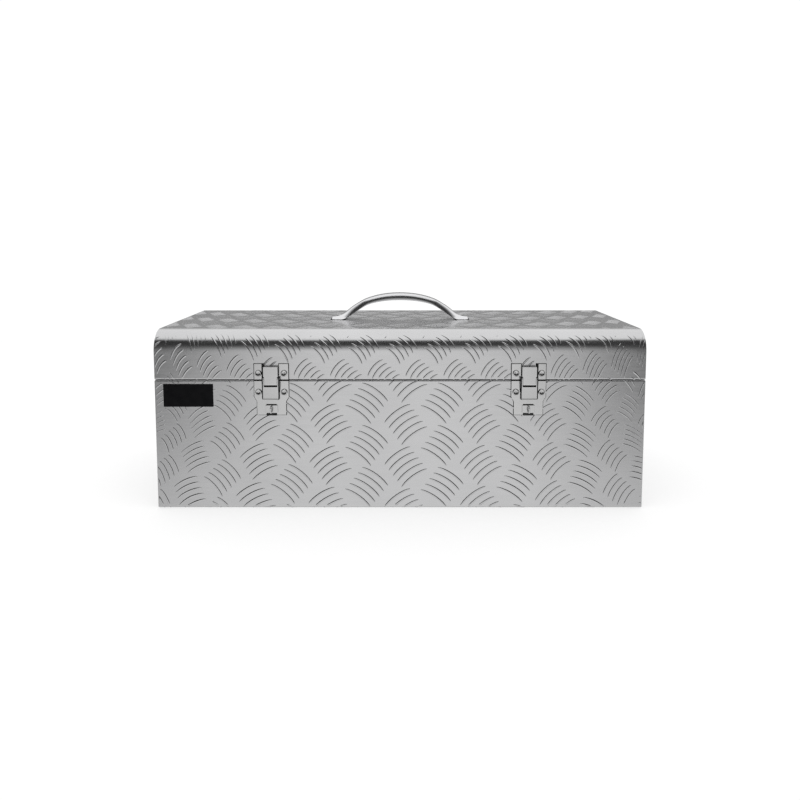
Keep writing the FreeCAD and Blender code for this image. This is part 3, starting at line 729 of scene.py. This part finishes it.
def latchShadePads(side):
    low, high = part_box("latch_plate_" + side)
    centre = (low[0] + high[0]) / 2
    padFace = shadePads["padFace"]
    bm = bmesh.new()
    # painted shade: a black outline just beyond the plate
    flatPad(bm, plateOutline(), centre, 0)
    # painted shade: a black pad behind the lever, seen through the slits
    flatPad(bm, padOutline(), centre + math.copysign(shadePads["padShift"], centre), padFace)
    eyeHalf = shadePads["eyeHalf"]
    # painted shadow: a black lip under the eye
    flatPad(bm, boxOutline(-eyeHalf, shadePads["eyeFoot"], eyeHalf, shadePads["eyeTop"]), centre, padFace)
    bmesh.ops.recalc_face_normals(bm, faces=bm.faces[:])
    mesh = meshFrom(bm, "latchShadePad")
    newPiece("latchGasket_" + side, mesh, rubberAndShade, "base", sharpAngles["pads"])
    bm = bmesh.new()
    for hand in (-1, 1):
        # painted shade: black outlines round the keeper, and black strips in the gaps beside the claw
        inner, outer = hand * shadePads["keeperInner"], hand * shadePads["keeperHalf"]
        flatPad(bm, boxOutline(inner, shadePads["keeperFoot"], outer, shadePads["keeperTop"]), centre, 0)
        far = hand * (shadePads["stripFar"] if hand * centre > 0 else shadePads["stripNear"])
        near = hand * shadePads["stripInner"]
        flatPad(bm, boxOutline(near, shadePads["stripFoot"], far, shadePads["stripTop"]), centre, padFace)
    bmesh.ops.recalc_face_normals(bm, faces=bm.faces[:])
    mesh = meshFrom(bm, "keeperShadePad")
    newPiece("keeperGasket_" + side, mesh, rubberAndShade, "lid", sharpAngles["pads"])


for side in ("left", "right"):
    latchShadePads(side)
print("gaskets laid")


# bow handle: rings along a bow, from the middle to each foot
handleBow = {
    "half": 0.0905, "breadth": 0.028, "foot": 0.0042, "smooth": 2, "padThick": 0.0005, "padSunk": 0.0001,
    "pad": [(0.0725, 0.0152), (0.0850, 0.0157), (0.0885, 0.0150), (0.0913, 0.0128)],
    "gripEdge": [(0.45, -1.0), (0.487, -0.97), (0.486, -0.8), (0.478, -0.5), (0.463, -0.15), (0.44, 0.2),
                 (0.405, 0.54), (0.37, 0.82), (0.325, 0.97), (0.12, 1.0)],
    "footEdge": [(0.46, -1.0), (0.5, -0.98), (0.5, -0.9), (0.465, -0.62), (0.425, -0.3), (0.38, 0.05),
                 (0.33, 0.4), (0.27, 0.75), (0.2, 0.95), (0.08, 1.0)],
    "rings": [  # share of the half, height (mm), slope, thickness (mm), breadth share, share of footEdge
        (0.0, 30.5, 0, 9.0, 1.0, 0), (0.22, 29.5, 10, 8.8, 1.0, 0),
        (0.42, 25.5, 24, 7.75, 1.0, 0), (0.52, 21.9, 32, 7.7, 1.0, 0.05),
        (0.588, 18.0, 38, 7.8, 1.01, 0.25), (0.65, 14.6, 38, 8.0, 1.02, 0.45),
        (0.705, 10.9, 37, 8.0, 1.03, 0.55), (0.755, 7.4, 34, 7.4, 1.045, 0.65),
        (0.80, 4.7, 26, 7.0, 1.06, 0.85), (0.84, 3.3, 14, 6.4, 1.065, 1),
        (0.885, 2.5, 6, 5.0, 1.07, 1), (0.94, 2.0, 2, 4.0, 1.07, 1),
        (0.975, 1.8, 0, 3.6, 1.02, 1), (1.0, 1.8, 0, 3.4, 0.86, 1)]}
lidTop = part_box("handle")[0][2]
millimetre = 0.001


def bowHandle():
    stations = [(-share, *rest) for share, *rest in reversed(handleBow["rings"][1:])]
    stations = [(share, high, -slope, *rest) for share, high, slope, *rest in stations]
    stations += handleBow["rings"]
    bm = bmesh.new()
    rings = []
    for share, high, slope, thick, broad, footShare in stations:
        tilt = math.radians(slope)
        across = []
        for grip, foot in zip(handleBow["gripEdge"], handleBow["footEdge"]):
            across.append([a + (b - a) * footShare for a, b in zip(grip, foot)])
        across += [(-u, w) for u, w in reversed(across)]
        ring = []
        for u, w in across:
            rise = w * thick / 2 * millimetre
            x = share * handleBow["half"] + rise * math.sin(tilt)
            z = lidTop + high * millimetre + rise * math.cos(tilt)
            ring.append(bm.verts.new((x, u * broad * handleBow["breadth"], max(z, lidTop))))
        rings.append(ring)
    for before, after in zip(rings, rings[1:]):
        bridgeRings(bm, before, after)
    bm.faces.new(rings[0])
    bm.faces.new(rings[-1])
    bmesh.ops.recalc_face_normals(bm, faces=bm.faces[:])
    piece = bpy.data.objects.new("handleBowDraft", meshFrom(bm, "handleBow"))
    scene.collection.objects.link(piece)
    smooth = piece.modifiers.new("smooth", "SUBSURF")
    smooth.levels = handleBow["smooth"]
    smooth.render_levels = handleBow["smooth"]
    mesh = bakeModifiers(piece)
    bpy.data.objects.remove(piece)
    piece = newPiece("handleBow", mesh, handleChrome, "lid", sharpAngles["handle"])
    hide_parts("handle")


def handlePads():  # a thin black pad under each foot
    bm = bmesh.new()
    for hand in (-1, 1):
        outline = [(hand * x, y) for x, y in handleBow["pad"]]
        outline += [(x, -y) for x, y in reversed(outline)]
        lower = [bm.verts.new((x, y, lidTop - handleBow["padSunk"])) for x, y in outline]
        upper = [bm.verts.new((x, y, lidTop + handleBow["padThick"])) for x, y in outline]
        closePad(bm, lower, upper)
    bmesh.ops.recalc_face_normals(bm, faces=bm.faces[:])
    mesh = meshFrom(bm, "handlePads")
    newPiece("handlePads", mesh, rubberAndShade, "lid", sharpAngles["pads"])


bowHandle()
handlePads()
print("handle bowed")


# blind rivets: one turned head with its set tail, repeated in rows by nodes
rivetShape = {  # shares of the radius and of the dome's height, from the middle outward
    "head": [(0, 0.66), (0.16, 0.66), (0.2, 0.57), (0.46, 0.785), (0.72, 1), (0.8, 0.99), (0.91, 0.8),
             (0.98, 0.45), (1, 0.1), (1, 0)],
    "shank": 0.55, "tail": [(0.85, 0), (0.85, 0.5), (0.5, 0.75), (0, 0.75)], "sides": 20}


def turnedRivet(name, profile):  # the first and last points lie on the axis
    sides = rivetShape["sides"]
    bm = bmesh.new()
    rings = []
    for radius, height in profile[1:-1]:
        ring = []
        for index in range(sides):
            turn = 2 * math.pi * index / sides
            ring.append(bm.verts.new((radius * math.cos(turn), radius * math.sin(turn), height)))
        rings.append(ring)
    capRing(bm, bm.verts.new((0, 0, profile[0][1])), rings[0])
    for before, after in zip(rings, rings[1:]):
        bridgeRings(bm, before, after)
    capRing(bm, bm.verts.new((0, 0, profile[-1][1])), rings[-1])
    bmesh.ops.recalc_face_normals(bm, faces=bm.faces[:])
    rivet = bpy.data.objects.new(name, meshFrom(bm, name))
    scene.collection.objects.link(rivet)
    return rivet


def blindRivet(name, radius, dome, grip):  # mandrel stub, recess, dome, shank and set tail
    profile = [(radius * out, dome * up) for out, up in rivetShape["head"]]
    profile += [(radius * rivetShape["shank"], 0), (radius * rivetShape["shank"], -grip)]
    profile += [(radius * out, -grip - dome * down) for out, down in rivetShape["tail"]]
    return turnedRivet(name, profile)


def rivetRowTree():
    sockets = [("Rivet", "Object"), ("Finish", "Material"), ("Count", "Int")]
    sockets += [(label, "Vector") for label in ("Start", "Pitch", "Turn")]
    tree, given, result = treeWith("rivetRow", sockets)
    link = tree.links.new
    values = given.outputs
    rivet = tree.nodes.new("GeometryNodeObjectInfo")
    link(values["Rivet"], rivet.inputs["Object"])
    line = tree.nodes.new("GeometryNodeMeshLine")
    link(values["Count"], line.inputs["Count"])
    link(values["Start"], line.inputs["Start Location"])
    link(values["Pitch"], line.inputs["Offset"])
    row = tree.nodes.new("GeometryNodeInstanceOnPoints")
    link(line.outputs["Mesh"], row.inputs["Points"])
    link(rivet.outputs["Geometry"], row.inputs["Instance"])
    link(values["Turn"], row.inputs["Rotation"])
    real = tree.nodes.new("GeometryNodeRealizeInstances")
    link(row.outputs["Instances"], real.inputs["Geometry"])
    finish = tree.nodes.new("GeometryNodeSetMaterial")
    link(real.outputs["Geometry"], finish.inputs["Geometry"])
    link(values["Finish"], finish.inputs["Material"])
    link(finish.outputs["Geometry"], result.inputs["Geometry"])
    return tree


rivetSizes = {"latchRadius": 0.0039, "latchDome": 0.0022, "latchPitch": 0.030, "latchPlate": 0.0012,
              "keeperRise": 0.0083, "plateDrop": 0.0140, "hingeRadius": 0.0031, "hingeDome": 0.001,
              "hingeLeaf": 0.0012, "hingeCount": 10, "hingeHalf": 0.231, "hingeOff": 0.013,
              "handleRadius": 0.00325, "handleDome": 0.0016, "handleAt": 0.0815}
rivetRow = rivetRowTree()
toFront = (math.pi / 2, 0, 0)
toBack = (-math.pi / 2, 0, 0)
upward = (0, 0, 0)
latchGrip = rivetSizes["latchPlate"] + gauge
hingeGrip = rivetSizes["hingeLeaf"] + gauge
handleGrip = handleBow["foot"] + gauge
latchRivet = blindRivet("latchRivet", rivetSizes["latchRadius"], rivetSizes["latchDome"], latchGrip)
hingeRivet = blindRivet("hingeRivet", rivetSizes["hingeRadius"], rivetSizes["hingeDome"], hingeGrip)
handleRivet = blindRivet("handleRivet", rivetSizes["handleRadius"], rivetSizes["handleDome"], handleGrip)


def rivetRows(name, rows, finish, body):
    whole = bmesh.new()
    for rivet, count, start, pitch, turn in rows:
        values = {"Rivet": rivet, "Count": count, "Start": start, "Pitch": pitch, "Turn": turn}
        values["Finish"] = finish
        mesh = growMesh(rivetRow, name, values)
        whole.from_mesh(mesh)
        bpy.data.meshes.remove(mesh)
    newPiece(name, meshFrom(whole, name), finish, body, sharpAngles["rivets"])


latchSpots = [sum(corner[0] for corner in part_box("latch_plate_" + side)) / 2 for side in ("left", "right")]
latchFace = -halfDepth - rivetSizes["latchPlate"]
pairPitch = (rivetSizes["latchPitch"], 0, 0)
keeperHeight = seamHeight + rivetSizes["keeperRise"]
plateHeight = seamHeight - rivetSizes["plateDrop"]
keeperRow = []
plateRow = []
for spot in latchSpots:
    first = spot - rivetSizes["latchPitch"] / 2
    keeperRow.append((latchRivet, 2, (first, latchFace, keeperHeight), pairPitch, toFront))
    plateRow.append((latchRivet, 2, (first, latchFace, plateHeight), pairPitch, toFront))
hingeCount = rivetSizes["hingeCount"]
hingeStart = -rivetSizes["hingeHalf"]
hingePitch = (2 * rivetSizes["hingeHalf"] / (hingeCount - 1), 0, 0)
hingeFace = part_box("hinge_base_leaf")[0][1] + rivetSizes["hingeLeaf"]
lidLeafStart = (hingeStart, hingeFace, seamHeight + rivetSizes["hingeOff"])
baseLeafStart = (hingeStart, hingeFace, seamHeight - rivetSizes["hingeOff"])
handleStart = (-rivetSizes["handleAt"], 0, lidHigh[2] + handleBow["foot"])
handlePitch = (2 * rivetSizes["handleAt"], 0, 0)
rivetRows("keeperRivets", keeperRow, latchSteel, "lid")
rivetRows("latchRivets", plateRow, latchSteel, "base")
lidLeafRow = [(hingeRivet, hingeCount, lidLeafStart, hingePitch, toBack)]
baseLeafRow = [(hingeRivet, hingeCount, baseLeafStart, hingePitch, toBack)]
handleRow = [(handleRivet, 2, handleStart, handlePitch, upward)]
rivetRows("lidLeafRivets", lidLeafRow, hingeSteel, "lid")
rivetRows("baseLeafRivets", baseLeafRow, hingeSteel, "base")
rivetRows("handleRivets", handleRow, latchSteel, "lid")
for rivet in (latchRivet, hingeRivet, handleRivet):
    bpy.data.objects.remove(rivet)
print("rivets set")


# floor, light and camera
paper = {"tone": 0.97, "rough": 0.9, "glow": 0.6, "wide": 1.4, "near": 0.3, "far": 1.2, "level": -0.0007}
topLamp = {"place": (0, -0.5, 1.7), "aim": (0, -0.2, 0.1), "width": 2.0, "height": 1.2, "power": 7}
skyLevels = {"fill": 1.04, "sides": 0.02, "apron": 0.8, "back": 0.29, "card": 1.0, "flag": 0.04, "roof": 1.19}
skyEdges = {  # each pair is where a change starts and ends: heights are sines, the rest is from front to back
    "apron": (-0.34, -0.17), "card": (-0.990, -0.941), "back": (0.2, 0.7), "overhead": (-0.5, 0.1),
    "flagFoot": (0.0, 0.48), "roofFoot": (0.14, 0.64), "roof": (0.80, 0.88)}
photoView = {"place": (0, -0.953, 0.327), "pitch": 5.34, "sensor": 36, "lens": 32.4, "shift": -0.1266}


def studioFloor():
    mesh = bpy.data.meshes.new("studioFloor")
    wide, near, far, level = (paper[key] for key in ("wide", "near", "far", "level"))
    corners = [(-wide, -near, level), (wide, -near, level), (wide, far, level), (-wide, far, level)]
    mesh.from_pydata(corners, [], [(0, 1, 2, 3)])
    floor = bpy.data.objects.new("studioFloor", mesh)
    scene.collection.objects.link(floor)
    finish, tree, shader = newFinish("floorPaper", (paper["tone"],) * 3, 0.0, paper["rough"])
    shader.inputs["Specular IOR Level"].default_value = 0.0
    glow = tree.nodes.new("ShaderNodeEmission")  # lifts the paper for the camera, the shadow stays
    path = tree.nodes.new("ShaderNodeLightPath")
    blend = tree.nodes.new("ShaderNodeMixShader")
    lifted = maths(tree, "MULTIPLY", path.outputs["Is Camera Ray"], paper["glow"])
    tree.links.new(lifted, blend.inputs["Fac"])
    tree.links.new(shader.outputs["BSDF"], blend.inputs[1])
    tree.links.new(glow.outputs["Emission"], blend.inputs[2])
    tree.links.new(blend.outputs["Shader"], tree.nodes["Material Output"].inputs["Surface"])
    mesh.materials.append(finish)
    floor.visible_glossy = False  # the metal mirrors the bands of the sky instead


def topLight():
    light = bpy.data.lights.new("topLight", "AREA")
    light.shape = "RECTANGLE"
    light.size = topLamp["width"]
    light.size_y = topLamp["height"]
    light.energy = topLamp["power"]
    holder = bpy.data.objects.new("topLight", light)
    scene.collection.objects.link(holder)
    place = Vector(topLamp["place"])
    holder.location = place
    holder.rotation_euler = (Vector(topLamp["aim"]) - place).to_track_quat("-Z", "Y").to_euler()
    holder.visible_camera = False
    holder.visible_glossy = False


def mixed(tree, factor, first, second):
    node = tree.nodes.new("ShaderNodeMix")
    for label, value in (("Factor", factor), ("A", first), ("B", second)):
        feed(tree, node.inputs[label], value)
    return node.outputs["Result"]


def skyParts(tree):  # height, and how far to the back on the level
    place = tree.nodes.new("ShaderNodeTexCoord")
    split = tree.nodes.new("ShaderNodeSeparateXYZ")
    tree.links.new(place.outputs["Generated"], split.inputs["Vector"])
    flat = tree.nodes.new("ShaderNodeVectorMath")
    flat.operation = "MULTIPLY"
    flat.inputs[1].default_value = (1, 1, 0)
    tree.links.new(place.outputs["Generated"], flat.inputs[0])
    turn = tree.nodes.new("ShaderNodeVectorMath")
    turn.operation = "NORMALIZE"
    tree.links.new(flat.outputs["Vector"], turn.inputs[0])
    level = tree.nodes.new("ShaderNodeSeparateXYZ")
    tree.links.new(turn.outputs["Vector"], level.inputs["Vector"])
    return split.outputs["Z"], level.outputs["Y"]


def studioSky():  # glossy rays see bands of light and dark, all others a plain white
    world = bpy.data.worlds.new("studioSky")
    scene.world = world
    world.use_nodes = True
    tree = world.node_tree
    height, backward = skyParts(tree)
    apron = spread(tree, height, 1.0, 0.0, *skyEdges["apron"])
    sides = mixed(tree, apron, skyLevels["sides"], skyLevels["apron"])  # dark sides, paler toward the floor
    behind = spread(tree, backward, 0.0, 1.0, *skyEdges["back"])
    around = mixed(tree, behind, sides, skyLevels["back"])
    inFront = spread(tree, backward, 1.0, 0.0, *skyEdges["card"])
    low = mixed(tree, inFront, around, skyLevels["card"])  # a pale card in front
    overhead = spread(tree, backward, 0.0, 1.0, *skyEdges["overhead"])
    flagFoot = spread(tree, height, 0.0, 1.0, *skyEdges["flagFoot"])
    roofFoot = spread(tree, height, 0.0, 1.0, *skyEdges["roofFoot"])
    high = mixed(tree, overhead, flagFoot, roofFoot)
    flag = mixed(tree, overhead, skyLevels["flag"], skyLevels["roof"])  # the dark flag hangs in front only
    flagged = mixed(tree, high, low, flag)
    roofed = mixed(tree, spread(tree, height, 0.0, 1.0, *skyEdges["roof"]), flagged, skyLevels["roof"])
    path = tree.nodes.new("ShaderNodeLightPath")
    seen = mixed(tree, path.outputs["Is Glossy Ray"], skyLevels["fill"], roofed)
    tree.links.new(seen, tree.nodes["Background"].inputs["Color"])


def photoCamera():
    lens = bpy.data.cameras.new("photoCamera")
    lens.sensor_width = photoView["sensor"]
    lens.lens = photoView["lens"]
    lens.shift_y = photoView["shift"]
    lens.dof.use_dof = False
    camera = bpy.data.objects.new("photoCamera", lens)
    scene.collection.objects.link(camera)
    camera.location = photoView["place"]
    camera.rotation_euler = (math.radians(90 - photoView["pitch"]), 0, 0)
    scene.camera = camera


studioFloor()
studioSky()
topLight()
photoCamera()
print("studio ready")
